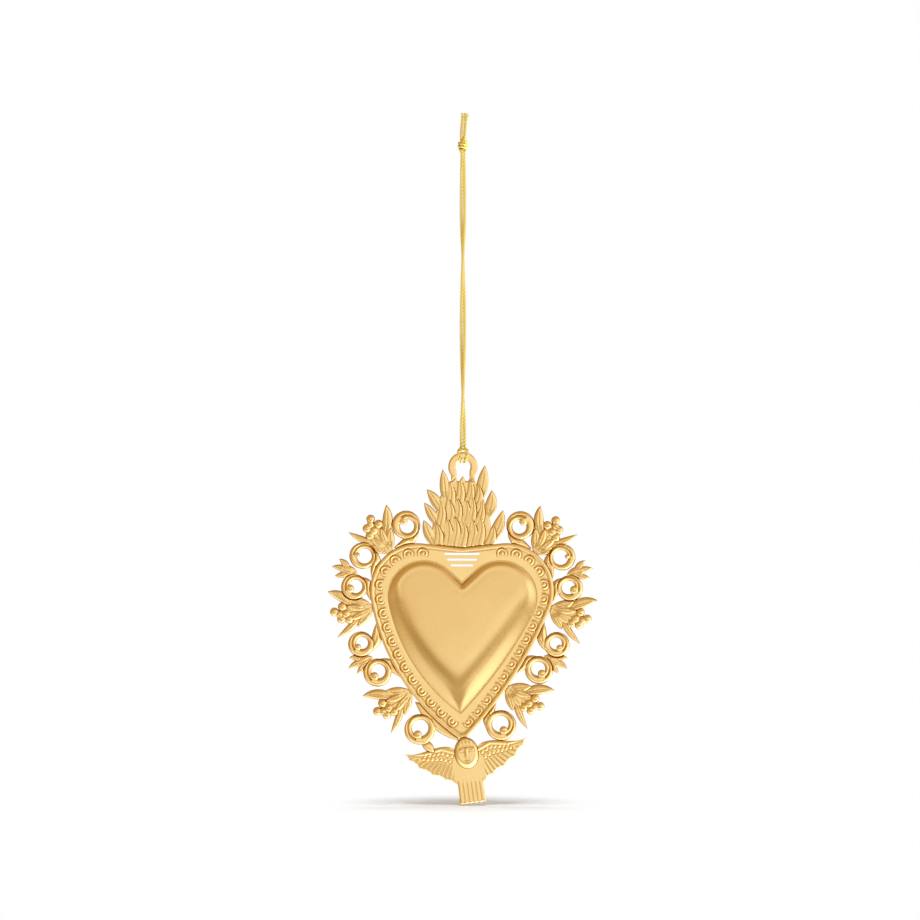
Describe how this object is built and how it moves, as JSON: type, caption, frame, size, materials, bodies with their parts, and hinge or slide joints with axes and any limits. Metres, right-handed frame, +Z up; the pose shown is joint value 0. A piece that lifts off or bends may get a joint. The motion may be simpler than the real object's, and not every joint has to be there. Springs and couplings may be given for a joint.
{
  "type": "hanging tin ornament",
  "caption": "Hanging flaming-heart ornament in pressed, pierced gold-coloured sheet, with a border of scrolls and berry sprays and a small winged cherub, on a knotted loop of gold cord.",
  "frame": {"origin": "hanging point: inside the cord loop just under its knot, where a peg or hook carries it", "axes": "+Z up along the cord, -Y out of the front of the ornament, +X to the right of a person who faces the front"},
  "size_m": [0.108, 0.0064, 0.2769],
  "materials": {
    "gold_sheet": "satin gold-coloured pressed sheet with chased lines",
    "gold_cord": "twisted metallic gold cord"
  },
  "bodies": {
    "knot": {"cord_knot": "gold_cord", "cord_tail_left": "gold_cord", "cord_tail_right": "gold_cord"},
    "legs": {"cord_leg_left": "gold_cord", "cord_leg_right": "gold_cord"},
    "hitch": {"cord_hitch": "gold_cord"},
    "heart": {"cherub_gown": "gold_sheet", "cherub_head": "gold_sheet", "cherub_wing_left": "gold_sheet", "cherub_wing_right": "gold_sheet", "flame_crest": "gold_sheet", "hanging_ring": "gold_sheet", "heart_band": "gold_sheet", "heart_dome": "gold_sheet", "scroll_left_1": "gold_sheet", "scroll_left_2": "gold_sheet", "scroll_left_3": "gold_sheet", "scroll_left_4": "gold_sheet", "scroll_left_5": "gold_sheet", "scroll_left_6": "gold_sheet", "scroll_right_1": "gold_sheet", "scroll_right_2": "gold_sheet", "scroll_right_3": "gold_sheet", "scroll_right_4": "gold_sheet", "scroll_right_5": "gold_sheet", "scroll_right_6": "gold_sheet", "spray_left_1": "gold_sheet", "spray_left_2": "gold_sheet", "spray_left_3": "gold_sheet", "spray_right_1": "gold_sheet", "spray_right_2": "gold_sheet", "spray_right_3": "gold_sheet", "sprig_left_1": "gold_sheet", "sprig_left_2": "gold_sheet", "sprig_right_1": "gold_sheet", "sprig_right_2": "gold_sheet"}
  },
  "joints": [
    {"name": "twist", "type": "hinge", "parent": "knot", "child": "legs", "pos_m": [0, 0, 0], "axis": [0, 0, 1], "range_deg": [-180, 180]},
    {"name": "swing", "type": "hinge", "parent": "legs", "child": "hitch", "pos_m": [0, 0, -0.1166], "axis": [1, 0, 0], "range_deg": [-90, 90]},
    {"name": "ring_slide", "type": "hinge", "parent": "hitch", "child": "heart", "pos_m": [0, -0.0002, -0.12596], "axis": [0, 1, 0], "range_deg": [-45, 45]}
  ]
}
